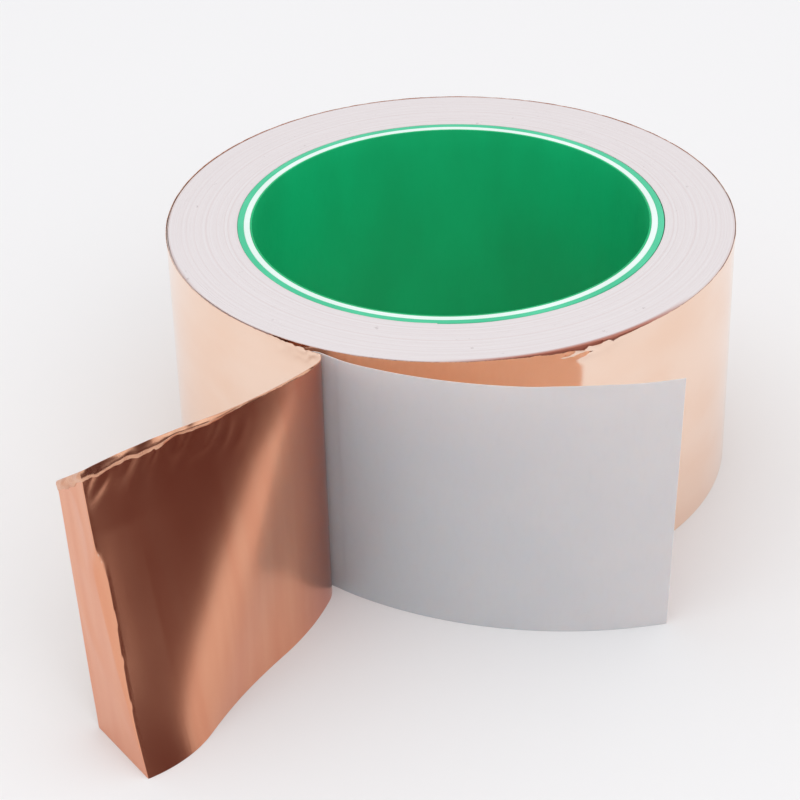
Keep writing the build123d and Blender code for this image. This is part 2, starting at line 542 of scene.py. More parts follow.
def rounded_profile(inner, outer, low, high, lip):
    """Closed outline of a tube's wall, as (radius, height), with rounded corners."""
    corners = [(outer, low, -90), (outer, high, 0), (inner, high, 90), (inner, low, 180)]
    outline = []
    for radius, height, first in corners:
        centre = (
            radius - lip if radius == outer else radius + lip,
            height + lip if height == low else height - lip,
        )
        for step in range(LIP_STEPS + 1):
            angle = math.radians(first + 90 * step / LIP_STEPS)
            outline.append((centre[0] + lip * math.cos(angle), centre[1] + lip * math.sin(angle)))
    return outline


def wall_rows(outline, rows):
    """Adds points up the two long walls, so that the tube isn't two tall quads."""
    dense = []
    for (r0, z0), (r1, z1) in zip(outline, outline[1:] + outline[:1]):
        count = rows if abs(z1 - z0) > 5 * MM else 1
        dense += [(r0 + (r1 - r0) * k / count, z0 + (z1 - z0) * k / count) for k in range(count)]
    return dense


print("a lip is rounded by", round(LIP / MM, 2), "mm in", LIP_STEPS, "steps")


# %% Make a mesh a finished piece, and turn a profile
SEGMENTS = 256
SHARP_EDGE = math.radians(48)


def finished_mesh(name, vertices, faces, materials, indices=None):
    """A piece at the origin with its place in its mesh, smooth except at real edges."""
    mesh = bpy.data.meshes.new(name)
    mesh.from_pydata([tuple(v) for v in vertices], [], [tuple(int(i) for i in f) for f in faces])
    for material in materials:
        mesh.materials.append(material)
    if indices is not None:
        mesh.polygons.foreach_set("material_index", np.asarray(indices, np.int32))
    mesh.polygons.foreach_set("use_smooth", np.ones(len(mesh.polygons), bool))
    mesh.set_sharp_from_angle(angle=SHARP_EDGE)
    mesh.update()
    piece = bpy.data.objects.new(name, mesh)
    bpy.context.scene.collection.objects.link(piece)
    return piece


def turned(name, outline, material):
    """A closed outline carried round the axis."""
    count = len(outline)
    angles = [2 * math.pi * k / SEGMENTS for k in range(SEGMENTS)]
    vertices = [(r * math.cos(a), r * math.sin(a), z) for a in angles for r, z in outline]
    faces = []
    for k in range(SEGMENTS):
        here, there = k * count, (k + 1) % SEGMENTS * count
        for i in range(count):
            j = (i + 1) % count
            faces.append((here + i, there + i, there + j, here + j))
    return finished_mesh(name, vertices, faces, [material])


print("a turned piece has", SEGMENTS, "segments")

# %% The three plies
plies = [
    ("core_inner_paper", "core_inner_ply", inner_ply_radius, green_paper, "core_green"),
    ("core_board_paper", "core_board", board_radius, white_board, "core_white"),
    ("core_outer_paper", "core_outer_ply", outer_ply_radius, pale_paper, "core_pale_green"),
]
inner = bore_radius
for name, node, outer, material, slot in plies:
    outline = wall_rows(rounded_profile(inner, outer, 0, tape_width, LIP), WALL_ROWS)
    ply = turned(name, outline, material)
    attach(ply, "roll")
    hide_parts(node)
    print(name, "wall", round((outer - inner) / MM, 2), "mm,", len(ply.data.polygons), "faces")
    inner = outer

# %% [markdown]
# ## The wound tape
#
# Under the last turn the tape is one long strip in a spiral. That is a shape that follows a rule,
# so Geometry Nodes make it: a spiral curve, one rectangle carried along it, and then the strip's
# two edges raised and lowered a little, because no tape is wound perfectly level. A stack of rings
# would look alike, but it has as many pieces as turns and no start or end. The unevenness comes from
# noise over the direction and the turn number, so it goes on smoothly from each turn to the next.

# %% How far the strip's edges lie from level
TURNS = (wound_radius - outer_ply_radius) / PITCH
CRUSHED_TURNS = 3.0


def uneven_edges(graph, size):
    """The move of each point: half the width up, and its edge a little in."""
    place = graph.node("GeometryNodeInputPosition").outputs[0]
    split = graph.node("ShaderNodeSeparateXYZ", {}, {0: place})
    x, y, z = (Number(graph, split.outputs[k]) for k in range(3))
    radius = (x * x + y * y) ** 0.5
    angle = y.math("ARCTAN2", y, x)
    turn = (radius - size["Inner radius"]) / size["Pitch"]
    corner = {0: x / radius * 3.0, 1: y / radius * 3.0, 2: turn * 5.3}
    corner = graph.node("ShaderNodeCombineXYZ", {}, corner).outputs[0]
    noise_sockets = {"Vector": corner, "Scale": 1.0, "Detail": 2.0}
    rough = graph.number("ShaderNodeTexNoise", {}, noise_sockets)
    from_damage = angle - size["Damage angle"]
    hurt = from_damage.math("COSINE", from_damage)
    hurt = hurt.above(math.cos(math.radians(DAMAGE_SPREAD)), 1.0)
    outermost = turn.above(TURNS - CRUSHED_TURNS, TURNS)
    side = z.math("SIGN", z)
    top = side.above(0.0, 1.0)
    drop = rough.above(0.3, 0.75) * size["Unevenness"]
    drop = drop + top * hurt * outermost * size["Damage depth"]
    return graph.node("ShaderNodeCombineXYZ", {}, {2: size["Width"] * 0.5 - side * drop}).outputs[0]


print("turns to wind:", round(TURNS, 1))


# %% Geometry Nodes: a strip wound in a spiral
def spiral_tree(material):
    """A tree with named sizes that winds a strip round the axis."""
    tree = bpy.data.node_groups.new("wound_strip", "GeometryNodeTree")
    tree.interface.new_socket(name="Geometry", in_out="OUTPUT", socket_type="NodeSocketGeometry")
    sizes = {
        "Inner radius": outer_ply_radius,
        "Outer radius": wound_radius,
        "Pitch": PITCH,
        "Width": tape_width,
        "Start angle": 0.0,
        "Unevenness": 0.08 * MM,
        "Damage angle": math.radians(DAMAGE_ANGLE),
        "Damage depth": 0.35 * MM,
    }
    for name, value in sizes.items():
        made = tree.interface.new_socket(name=name, in_out="INPUT", socket_type="NodeSocketFloat")
        made.default_value = value
    graph = Graph(tree)
    entry = graph.node("NodeGroupInput")
    size = {name: Number(graph, entry.outputs[name]) for name in sizes}
    turns = (size["Outer radius"] - size["Inner radius"]) / size["Pitch"]
    spiral = graph.node(
        "GeometryNodeCurveSpiral",
        {},
        {
            "Resolution": 128,
            "Rotations": turns,
            "Start Radius": size["Inner radius"] + size["Pitch"] * 0.5,
            "End Radius": size["Outer radius"] - size["Pitch"] * 0.5,
            "Height": 0.0,
        },
    )
    section = graph.node(
        "GeometryNodeCurvePrimitiveQuadrilateral",
        {"mode": "RECTANGLE"},
        {"Width": size["Pitch"], "Height": size["Width"]},
    )
    strip = graph.node(
        "GeometryNodeCurveToMesh",
        {},
        {"Curve": spiral.outputs[0], "Profile Curve": section.outputs[0], "Fill Caps": True},
    )
    offset = {"Geometry": strip.outputs[0], "Offset": uneven_edges(graph, size)}
    placed = graph.node("GeometryNodeSetPosition", {}, offset)
    spin = graph.node("ShaderNodeCombineXYZ", {}, {2: size["Start angle"]})
    rotation = {"Geometry": placed.outputs[0], "Rotation": spin.outputs[0]}
    turned_round = graph.node("GeometryNodeTransform", {}, rotation)
    whole = graph.node("GeometryNodeRealizeInstances", {}, {0: turned_round.outputs[0]})
    look = {"Geometry": whole.outputs[0], "Material": material}
    painted = graph.node("GeometryNodeSetMaterial", {}, look)
    graph.node("NodeGroupOutput", {}, {0: painted.outputs[0]})
    return tree


def grown(name, tree, settings):
    """Runs a Geometry Nodes tree on an empty mesh and keeps the result as a plain mesh."""
    holder = bpy.data.objects.new(name, bpy.data.meshes.new(name))
    bpy.context.scene.collection.objects.link(holder)
    modifier = holder.modifiers.new("grow", "NODES")
    modifier.node_group = tree
    named = {s.name: s.identifier for s in tree.interface.items_tree if s.in_out == "INPUT"}
    for key, value in settings.items():
        modifier[named[key]] = value
    bpy.context.view_layer.update()
    evaluated = holder.evaluated_get(bpy.context.evaluated_depsgraph_get())
    mesh = bpy.data.meshes.new_from_object(evaluated)
    holder.modifiers.clear()
    holder.data = mesh
    return holder


winding = spiral_tree(wound_face)
print("the winding tree has", len(winding.nodes), "nodes")

# %% Wind the strip
WOUND_SHARP_EDGE = math.radians(35)
start_angle = math.radians(leave_angle - 360 * (TURNS % 1))
wound = grown("wound_tape", winding, {"Start angle": start_angle})
shell = bmesh.new()
shell.from_mesh(wound.data)
if shell.calc_volume(signed=True) < 0:
    bmesh.ops.reverse_faces(shell, faces=shell.faces)
shell.to_mesh(wound.data)
shell.free()
wound.data.polygons.foreach_set("use_smooth", np.ones(len(wound.data.polygons), bool))
wound.data.set_sharp_from_angle(angle=WOUND_SHARP_EDGE)
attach(wound, "roll")
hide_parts("wound_turns")
wide = [math.hypot(v.co.x, v.co.y) for v in wound.data.vertices]
print("wound tape:", round(TURNS, 1), "turns,", len(wound.data.polygons), "faces")
print("wound radius, mm:", round(min(wide) / MM, 2), "to", round(max(wide) / MM, 2))

# %% [markdown]
# ## Thin sheets
#
# Foil and liner are thin closed shells: a grid of points is the outer face, the same grid moved by
# the thickness is the inner face, and a ring of narrow faces closes the cut edge. Columns run along
# the tape and rows run up it. The UV map is in metres, so patterns keep their scale on every sheet.


# %% Build a closed sheet from a grid of points
def left_of(points):
    """Unit vectors to the left of the tape's run, square to the sheet."""
    along, up = np.gradient(points, axis=0), np.gradient(points, axis=1)
    left = np.cross(up, along)
    return left / np.maximum(np.linalg.norm(left, axis=-1, keepdims=True), 1e-12)


def sheet(name, outer, thickness, materials, start=0.0, lip=0):
    """A closed shell from its outer face; the inner face lies a thickness to the left.

    The outer face takes the first material, the inner face the second, the cut edge the third, and
    the last lip rows of the outer face the fourth.
    """
    columns, rows = outer.shape[:2]
    inner = outer + left_of(outer) * thickness
    index = np.arange(columns * rows).reshape(columns, rows)
    front = np.stack([index[:-1, :-1], index[1:, :-1], index[1:, 1:], index[:-1, 1:]], -1)
    front = front.reshape(-1, 4)
    back = front[:, ::-1] + index.size
    ring = np.concatenate([index[:, 0], index[-1, 1:], index[-2::-1, -1], index[0, -2:0:-1]])
    following = np.roll(ring, -1)
    rim = np.stack([following, ring, ring + index.size, following + index.size], -1)
    faces = np.concatenate([front, back, rim])
    indices = np.repeat([0, 1, 2], [len(front), len(back), len(rim)])
    if lip:
        indices[: len(front)].reshape(columns - 1, rows - 1)[:, -lip:] = 3
    vertices = np.concatenate([outer.reshape(-1, 3), inner.reshape(-1, 3)])
    piece = finished_mesh(name, vertices, faces, materials, indices)
    along = np.linalg.norm(np.diff(outer[:, rows // 3], axis=0), axis=1)
    along = start + np.concatenate([[0], np.cumsum(along)])
    across = np.linalg.norm(np.diff(outer, axis=1), axis=2).mean(0)
    across = np.concatenate([[0], np.cumsum(across)])
    flat = np.stack(np.meshgrid(along, across, indexing="ij"), -1).reshape(-1, 2)
    flat = np.concatenate([flat, flat])
    corners = np.zeros(len(piece.data.loops), np.int32)
    piece.data.loops.foreach_get("vertex_index", corners)
    piece.data.uv_layers.new(name="tape").data.foreach_set("uv", flat[corners].ravel())
    return piece


print("foil with its adhesive, mm:", round(FOIL_AND_ADHESIVE / MM, 2))
print("liner, mm:", round(LINER_THICKNESS / MM, 2))


# %% Smooth noise, creases and rises
def rough_field(x, y, seed):
    """Smooth random numbers from about -1 to 1 at two arrays of coordinates."""
    spots = np.stack(np.broadcast_arrays(x, y, seed), -1).reshape(-1, 3)
    values = [noise.noise(Vector(spot)) for spot in spots]
    return np.array(values).reshape(np.broadcast(x, y).shape)


def ridges(x, y, seed):
    """Random creases: 1 along thin wandering lines, falling to 0 between them."""
    return np.clip(1 - 2.2 * np.abs(rough_field(x, y, seed)), 0, 1)


def rise(value, low, high):
    """0 under low, 1 over high, smooth between."""
    share = np.clip((np.asarray(value, float) - low) / (high - low), 0, 1)
    return share * share * (3 - 2 * share)


def row_heights(fine, coarse, band):
    """Heights across the tape, closer together in a band at the top edge."""
    lower = np.arange(0, tape_width - band, coarse)
    upper = np.arange(tape_width - band, tape_width + fine / 2, fine)
    return np.concatenate([lower, upper])


print("a crease pattern at its ridge:", float(ridges(0.0, 0.0, 0.0)[()]))

# %% [markdown]
# ## The outer turn
#
# The last turn goes once round the roll, runs straight off it to the peel line, and there the foil
# starts to bend back. Its upper edge is the one that fingers and benches meet, so it is nicked: it
# dips and flares a little all the way round, more at one crushed place, and it is crinkled where
# the peeling has pulled at it. Sculpting could do that by hand. Here noise along the tape does it, so
# that the marks keep their size and place when a radius changes.

# %% The outer turn's path
RIM_BAND = 4.0 * MM
NOSE = 0.2 * MM  # how far ahead and behind the path is read for its direction


def outer_turn_path(inside, tail):
    """The spiral of the last turn and its straight lead, a distance inside the foil's outer face."""
    start_radius = outside_radius - PITCH - inside
    turn = np.linspace(-360, 0, 361)
    radius = start_radius + PITCH * (turn / 360 + 1)
    points = [direction(leave_angle + a) * r for a, r in zip(turn, radius)]
    path = Path(points[0], leave_heading)
    path.points = points[:-1]
    left = direction(leave_heading + 90) * inside
    path.points.append(direction(leave_angle) * outside_radius + left)
    path.walk(np.linalg.norm(peel_point - direction(leave_angle) * outside_radius), 0)
    for length, bend in tail:
        path.walk(length, bend)
    return path.finish()


def around(path, distance):
    """Direction from the axis, in degrees, at distances along a path."""
    spot = path.at(distance, 0.0)
    return np.degrees(np.arctan2(spot[..., 1], spot[..., 0]))


def turn_grid(path, stations, heights, flare, dip):
    """Points of an upright turn with its upper edge flared outwards and dipped."""
    s, z = np.meshgrid(stations, heights, indexing="ij")
    points = path.at(s, z)
    ahead = path.at(np.clip(s + NOSE, 0, path.length), z)
    behind = path.at(np.clip(s - NOSE, 0, path.length), z)
    run = (ahead - behind)[..., :2]
    run /= np.linalg.norm(run, axis=-1, keepdims=True)
    right = np.stack([run[..., 1], -run[..., 0], np.zeros_like(z)], -1)
    near_top = rise(z, tape_width - RIM_BAND, tape_width)
    points += right * (flare(s, z) * near_top)[..., None]
    points[..., 2] -= dip(s) * near_top**2
    return points


def damage(path, s):
    """How near a place is to the crushed part of the rim, from 0 to 1."""
    gap = (around(path, s) - DAMAGE_ANGLE + 180) % 360 - 180
    return np.clip(1 - np.abs(gap) / DAMAGE_SPREAD, 0, 1)


fold_steps = [(FOLD_RADIUS * math.radians(FOLD_TURN), -FOLD_TURN)]
foil_path = outer_turn_path(0.0, fold_steps)
peel_distance = foil_path.length - fold_steps[0][0]
print("outer turn:", round(foil_path.length / MM, 1), "mm of foil")


# %% The outer turn of foil
def smooth_end(s):
    """1 along the turn, falling to 0 at its end, where the free foil goes on from it."""
    return 1 - rise(s, foil_path.length - 1.2 * MM, foil_path.length)


def foil_flare(s, z):
    """How far the upper edge bends outwards."""
    near_peel = rise(s, peel_distance - 16 * MM, peel_distance - 3 * MM)
    crinkle = ridges(s / (2.2 * MM), z / (2.6 * MM), 3.1) * near_peel * 0.35 * MM
    creases = ridges(s / (2.2 * MM), z / (1.8 * MM), 8.4)
    crushed = damage(foil_path, s) * (0.12 + 0.5 * creases) * MM
    waves = 0.07 * MM * (1.2 + rough_field(s / (3 * MM), z / (3 * MM), 1.7))
    return (waves + crinkle + crushed) * smooth_end(s)


def foil_dip(s):
    """How far the upper edge is worn down."""
    nibble = np.clip(rough_field(s / (1.3 * MM), 0.0 * s, 5.2), 0, 1) * 0.15 * MM
    near_peel = rise(s, peel_distance - 16 * MM, peel_distance - 2 * MM)
    torn = np.clip(rough_field(s / (0.9 * MM), 0.0 * s, 9.7), 0, 1) * near_peel * 0.7 * MM
    creases = ridges(s / (1.8 * MM), 0.0 * s, 6.6)
    crushed = damage(foil_path, s) * (0.15 + 0.55 * creases) * MM
    return (nibble + torn + crushed) * smooth_end(s)


LEAD, NEAR_END = 30 * MM, 2 * MM  # the stretches before the end with closer columns
stations = np.concatenate([
    np.arange(0, foil_path.length - LEAD, 1.0 * MM),
    np.arange(foil_path.length - LEAD, foil_path.length - NEAR_END, 0.3 * MM),
    np.linspace(foil_path.length - NEAR_END, foil_path.length, 16),
])
turn_heights = row_heights(fine=0.4 * MM, coarse=3.0 * MM, band=RIM_BAND)
grid = turn_grid(foil_path, stations, turn_heights, foil_flare, foil_dip)
outer_foil = sheet("outer_turn_foil", grid, FOIL_AND_ADHESIVE, [copper, adhesive_side, cut_edge])
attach(outer_foil, "roll")
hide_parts("last_turn_foil", "last_turn_adhesive")
print("outer foil:", len(outer_foil.data.polygons), "faces")

# %% [markdown]
# The liner's outer turn runs inside the foil's. Its edge hides just below the foil's edge, and lies
# deeper where the rim is crushed and where the peeling has crinkled the foil.

# %% The outer turn of liner
liner_path = outer_turn_path(FOIL_AND_ADHESIVE, [(LINER_LEAD, 0)])
liner_stations = np.concatenate([
    np.arange(0, liner_path.length - LEAD, 1.4 * MM),
    np.linspace(liner_path.length - LEAD, liner_path.length, 60),
])


def liner_dip(s):
    """How far the liner's edge lies below the foil's."""
    near_peel = rise(s, peel_distance - 18 * MM, peel_distance - 12 * MM)
    dip = 0.2 + 0.75 * near_peel + 1.4 * damage(liner_path, s)
    return dip * MM * (1 - rise(s, peel_distance - 5 * MM, peel_distance))


grid = turn_grid(liner_path, liner_stations, turn_heights, lambda s, z: 0.0 * s, liner_dip)
liner_finishes = [liner_face, liner_back, liner_edge]
outer_liner = sheet("outer_turn_liner", grid, LINER_THICKNESS, liner_finishes)
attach(outer_liner, "roll")
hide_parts("last_turn_liner")
print("outer turn:", round(liner_path.length / MM, 1), "mm of liner")

# %% [markdown]
# ## The folded-back foil
#
# Foil bends but doesn't stretch. A sheet like that is made of straight lines that fan out from a
# point, so this one is two fans that share a diagonal: one from the top of the peel line to the
# lower edge, and one from the crease's foot to the upper edge. The bend along that diagonal is what
# catches the light. The sheet is laid out flat first, in distances along and across the tape, and
# each flat place is then carried to its place on one of the two fans. Cloth simulation would be
# another way, but cloth stretches and sags, and foil keeps the bend that it is given.

# %% Carry the flat foil onto its two fans
LOWER_BEND = FOIL_LOWER[0][0] * MM + JOINT_GAP
UPPER_BEND = FOIL_UPPER[0][0] * MM + JOINT_GAP
FAN_FOOT = 46.5 * MM  # where the fans' shared diagonal meets the lower edge
crease_foot = foil_low.at(foil_low.length, 0.0)
crease_top = foil_high.at(foil_high.length, tape_width)


def mixed(first, second, share):
    """Places between two places, or between two rows of places."""
    return first + (second - first) * np.asarray(share)[..., None]


def crease_reach(y):
    """How far along the tape the crease lies at a height across it."""
    return foil_low.length + (foil_high.length - foil_low.length) * y / tape_width


def on_foil(x, y):
    """The place in space of flat places on the folded-back foil."""
    share = np.clip(y / tape_width, 0, 1)
    bend = LOWER_BEND + (UPPER_BEND - LOWER_BEND) * share
    part = np.clip(x / bend, 0, 1)
    bent = mixed(
        foil_low.at(part * LOWER_BEND, 0.0), foil_high.at(part * UPPER_BEND, tape_width), share
    )
    apex = foil_high.at(UPPER_BEND, tape_width)
    fall = np.maximum(1 - share, 1e-6)
    low_side = mixed(apex, foil_low.at(UPPER_BEND + (x - UPPER_BEND) / fall, 0.0), 1 - share)
    diagonal = FAN_FOOT + (UPPER_BEND - FAN_FOOT) * share
    part = np.clip((x - diagonal) / (crease_reach(y) - diagonal), 0, 1)
    high_side = mixed(
        foil_low.at(FAN_FOOT + (foil_low.length - FAN_FOOT) * part, 0.0),
        foil_high.at(UPPER_BEND + (foil_high.length - UPPER_BEND) * part, tape_width),
        share,
    )
    fans = np.where((x < diagonal)[..., None], low_side, high_side)
    return np.where((x < bend)[..., None], bent, fans)


def relaxed(points, rounds):
    """Evens out the inside of a grid and leaves its border where it is."""
    points = points.copy()
    for _ in range(rounds):
        inside = points[1:-1, 1:-1]
        around_it = points[2:, 1:-1] + points[:-2, 1:-1] + points[1:-1, 2:] + points[1:-1, :-2]
        points[1:-1, 1:-1] = inside * 0.5 + around_it / 8
    return points


diagonal_now = np.linalg.norm(foil_high.at(UPPER_BEND, tape_width) - foil_low.at(FAN_FOOT, 0.0))
diagonal_flat = math.hypot(FAN_FOOT - UPPER_BEND, tape_width)
print("diagonal, mm:", round(diagonal_now / MM, 2), "flat", round(diagonal_flat / MM, 2))

# %% [markdown]
# The foil's upper edge has been turned over: a narrow lip is doubled down onto the adhesive side,
# so its bright outer side shows. It starts as a rolled rim near the peel line and widens towards
# the crease. The lip is a few more rows of the same grid. Two pieces are cut from the grid: the
# foil that bends at the peel line, and the tip that bends at the crease.

# %% The foil's turned-over lip
LIP_ROWS = 9
ROLLED_ROWS = 0.12  # the share of the lip's rows that go round its rolled rim
LEAST_GAP = 0.13  # millimetres from the sheet to its lip
foil_heights = row_heights(fine=0.45 * MM, coarse=1.2 * MM, band=9.0 * MM)


def lip_depth(x):
    """Depth of the turned-over edge along the foil."""
    wide = rise(x, 16 * MM, 44 * MM) * 1.5 + 0.35
    slow, quick = rough_field(x / (6 * MM), 0 * x, 4.4), rough_field(x / (1.2 * MM), 0 * x, 14.4)
    uneven = 1 + 0.45 * slow + 0.15 * quick
    return wide * uneven * MM * rise(x, 0.0, 5 * MM)


def with_lip(points, x):
    """Adds the rows of the turned-over edge above a grid, on its adhesive side."""
    top, left = points[:, -1], left_of(points)[:, -1]
    up = points[:, -1] - points[:, -2]
    up /= np.linalg.norm(up, axis=-1, keepdims=True)
    depth, started = lip_depth(x)[:, None], rise(x, 0.0, 6 * MM)
    rows = []
    for k in range(1, LIP_ROWS + 1):
        share = k / LIP_ROWS
        drop = max(0.0, share - ROLLED_ROWS) / (1 - ROLLED_ROWS)
        pleats = ridges(x / (9 * MM), 0 * x + 0.8 * drop, 2.9) * math.sin(math.pi * drop)
        ruffle = rough_field(x / (2.6 * MM), 0 * x + 1.6 * drop, 7.7) * drop
        bulge = np.maximum(0.14 + 0.42 * pleats + 0.12 * ruffle, LEAST_GAP)
        bulge = bulge * started + LEAST_GAP * (1 - started)
        rows.append(top + left * bulge[:, None] * MM * min(1.0, share * 6) - up * depth * drop)
    return np.concatenate([points, np.stack(rows, 1)], 1)


deepest = lip_depth(np.linspace(0, foil_high.length, 60)).max()
print("the lip is at most", round(deepest / MM, 1), "mm deep")

# %% [markdown]
# Handling has left fine creases under the lip and a shallow hollow beside the crease. They are real
# moves of the points, not a bump in the finish, because a near mirror shows every slope.


# %% The foil's crinkles
HOLLOW, HOLLOW_HEIGHT = 1.3 * MM, 22.0 * MM


def crinkled(points, x, y):
    """Pushes fine creases, broad waves and the hollow into a grid."""
    near_top = rise(y, tape_width - 8 * MM, tape_width - 0.5 * MM)
    where = near_top * rise(x, 14 * MM, 34 * MM)
    creases = ridges((x + y * 0.9) / (4.5 * MM), (y - x * 0.4) / (9 * MM), 11.3) * 0.22 * MM
    broad = rough_field(x / (14 * MM), y / (40 * MM), 2.2) * 0.10 * MM * rise(x, 6 * MM, 14 * MM)
    height = y / HOLLOW_HEIGHT
    hollow = HOLLOW * height * np.exp(1 - height) * rise(x, 36 * MM, 54 * MM)
    return points + left_of(points) * (creases * where + broad - hollow)[..., None]


print("the hollow is", round(HOLLOW / MM, 1), "mm deep,", round(HOLLOW_HEIGHT / MM), "mm up")

# %% [markdown]
# The flap piece runs from the hinge to a seam nine millimetres before the crease. It is one sheet
# that bends between the roll and the tail.

# %% The foil flap
BEND, SEAM = 0.12, 0.85  # shares of the way to the crease
BEND_COLUMNS, FLAP_COLUMNS, TIP_COLUMNS = 22, 84, 24
RELAX_ROUNDS = 70  # these round the bend along the fans' diagonal
reach_share = np.concatenate([
    np.linspace(0, BEND, BEND_COLUMNS)[:-1],
    np.linspace(BEND, SEAM, FLAP_COLUMNS)[:-1],
    np.linspace(SEAM, 1, TIP_COLUMNS),
])
seam_column = BEND_COLUMNS + FLAP_COLUMNS - 2
share_grid, y_grid = np.meshgrid(reach_share, foil_heights, indexing="ij")
x_grid = share_grid * crease_reach(y_grid)
foil_grid = relaxed(on_foil(x_grid, y_grid), RELAX_ROUNDS)
foil_grid = crinkled(foil_grid, x_grid, y_grid)
whole_grid = with_lip(foil_grid, x_grid[:, -1])
foil_finishes = [copper, adhesive_side, cut_edge, lip_copper]
flap_grid = whole_grid[: seam_column + 1]
flap = sheet("foil_flap", flap_grid, FOIL_AND_ADHESIVE, foil_finishes, lip=LIP_ROWS)
print("foil flap:", len(flap.data.polygons), "faces")

# %% [markdown]
# The tip piece goes on from the seam, over the crease, to the tape's end. The crease isn't one
# clean line: along its middle the foil is folded twice, which leaves a narrow flat facet between
# the two faces, widest a third of the way down and closed again near the floor.

# %% The grid of the creased tip
end_corners = [v.co for v in frame["nodes"]["foil_end"].data.vertices]


def far_corner(low):
    """The free corner of the tape's end, on the floor or at the top."""
    crease = Vector(crease_foot if low else crease_top)
    level = [c for c in end_corners if (c.z < 1 * MM if low else c.z > 40 * MM)]
    return np.array(max(level, key=lambda corner: (corner - crease).length))


end_low, end_high = far_corner(low=True), far_corner(low=False)
CLOSER = 0.2  # the share beside the crease where columns are closer together
beyond = np.concatenate([np.linspace(0, CLOSER, 9)[1:], np.linspace(CLOSER, 1, 22)[1:]])


def tip_grid():
    """The grid of the tip and its signed distance from the crease."""
    y = foil_heights
    flap_side = foil_grid[seam_column:]
    crease_line, free_line = flap_side[-1], mixed(end_low, end_high, y / tape_width)
    end_side = np.stack([mixed(crease_line, free_line, 0 * y + share) for share in beyond])
    width = np.linalg.norm(free_line - crease_line, axis=-1)
    before = x_grid[seam_column:] - crease_reach(y)
    after = beyond[:, None] * width
    return np.concatenate([flap_side, end_side]), np.concatenate([before, after])


raw_tip, from_crease = tip_grid()
print("the tape's free edge, mm:", round(np.linalg.norm(end_high - end_low) / MM, 1))

# %% The facet and the finished tip
FACET_BEFORE, FACET_AFTER = 1.3 * MM, 2.4 * MM
SPECK = 1e-9  # keeps the facet's two sides apart where it closes


def facet(points, distance, y):
    """Cuts the ridge with a flat facet between two distances from the crease."""
    down = 1 - y / tape_width
    narrowing = 1 - rise(down, 0.34, 0.97) * 0.95
    wide = rise(down, 0.24, 0.34) * narrowing * (1 - rise(down, 0.9, 0.98))
    cut = points.copy()
    for row, amount in enumerate(wide):
        low, high = -FACET_BEFORE * amount - SPECK, FACET_AFTER * amount + SPECK
        line = distance[:, row]
        inside = (line > low) & (line < high)
        first, second = (
            np.array([np.interp(side, line, points[:, row, k]) for k in range(3)])
            for side in (low, high)
        )
        cut[inside, row] = mixed(first, second, (line[inside] - low) / (high - low))
    return cut


tip_points = facet(raw_tip, from_crease, foil_heights)
x_tip = crease_reach(foil_heights)[None, :] + from_crease
tip_y = np.broadcast_to(foil_heights, from_crease.shape)
wrinkle = ridges(from_crease / (6 * MM), tip_y / (17 * MM), 15.8) * rise(from_crease, -5 * MM, MM)
wrinkle = wrinkle * rise(tip_y, 2 * MM, 12 * MM) * 0.12 * MM
tip_points += left_of(tip_points) * wrinkle[..., None]
tip = sheet(
    "foil_tip",
    with_lip(tip_points, x_tip[:, -1]),
    FOIL_AND_ADHESIVE,
    foil_finishes,
    start=float(x_grid[seam_column, 0]),
    lip=LIP_ROWS,
)
print("foil tip:", len(tip.data.polygons), "faces")

# %% [markdown]
# Both pieces are final now, so their meshes are moved into place, and the ends of the bend at the
# peel line and the direction over the crease are worked out. At the crease the direction runs from
# one face of the fold to the other.

# %% Where the foil bends at the peel line and at the crease
BEND_LENGTH = 5.0 * MM
past = foil_low.at(BEND_LENGTH, 0.0)[:2]
bend_start = (*foil_hinge, tape_width / 2)
bend_end = (*past, tape_width / 2)
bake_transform(flap)
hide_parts("foil_tail", "foil_tail_adhesive")

middle = (crease_foot + crease_top) / 2
half_up = 0.5 * tape_width
into_flap = on_foil(crease_reach(half_up) - 5 * MM, np.array(half_up)) - middle
into_end = (end_low + end_high) / 2 - middle
over = into_end / np.linalg.norm(into_end) - into_flap / np.linalg.norm(into_flap)
over /= np.linalg.norm(over)
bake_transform(tip)
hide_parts("foil_end", "foil_end_adhesive")
print("the foil bends over", round(BEND_LENGTH / MM), "mm at the peel line")

# %% [markdown]
# ## The parted liner
#
# The liner keeps the curl it had on the roll. It leans out a little at the top, because its upper
# edge curls less than its lower edge. Upright lines, as on the outer turn, would be simpler but
# can't lean, so each straight line joins the two edges at the same share of their length. A short
# stretch of the upper edge is rolled back a little by handling.

# %% The liner's free end
LINER_COLUMNS = 90
CURL = 0.75 * MM
LINER_BEND_LENGTH = 6 * MM
liner_rows = row_heights(fine=0.3 * MM, coarse=2.0 * MM, band=3.0 * MM)
share_grid, y_grid = np.meshgrid(np.linspace(0, 1, LINER_COLUMNS), liner_rows, indexing="ij")
liner_grid = mixed(
    liner_low.at(share_grid * liner_low.length, 0.0),
    liner_high.at(share_grid * liner_high.length, tape_width),
    y_grid / tape_width,
)
start_left = np.array([*direction(leave_heading + 90), 0]) * FOIL_AND_ADHESIVE
along = share_grid * liner_low.length
curled = rise(along, 34 * MM, 41 * MM) * (1 - rise(along, 47 * MM, 54 * MM))
curl = CURL * curled * rise(y_grid, tape_width - 3 * MM, tape_width + 3 * MM)
liner_grid = liner_grid + left_of(liner_grid) * (FOIL_AND_ADHESIVE + curl)[..., None]
liner_grid[0, :, :2] = liner_hinge + start_left[:2]
liner = sheet("liner_end", liner_grid, LINER_THICKNESS, liner_finishes, start=liner_path.length)
past = liner_low.at(LINER_BEND_LENGTH, 0.0)[:2]
tape_width / 2
tape_width / 2
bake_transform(liner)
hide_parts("liner_tail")
print("liner end:", round(liner_low.length / MM, 1), "mm long at the floor")

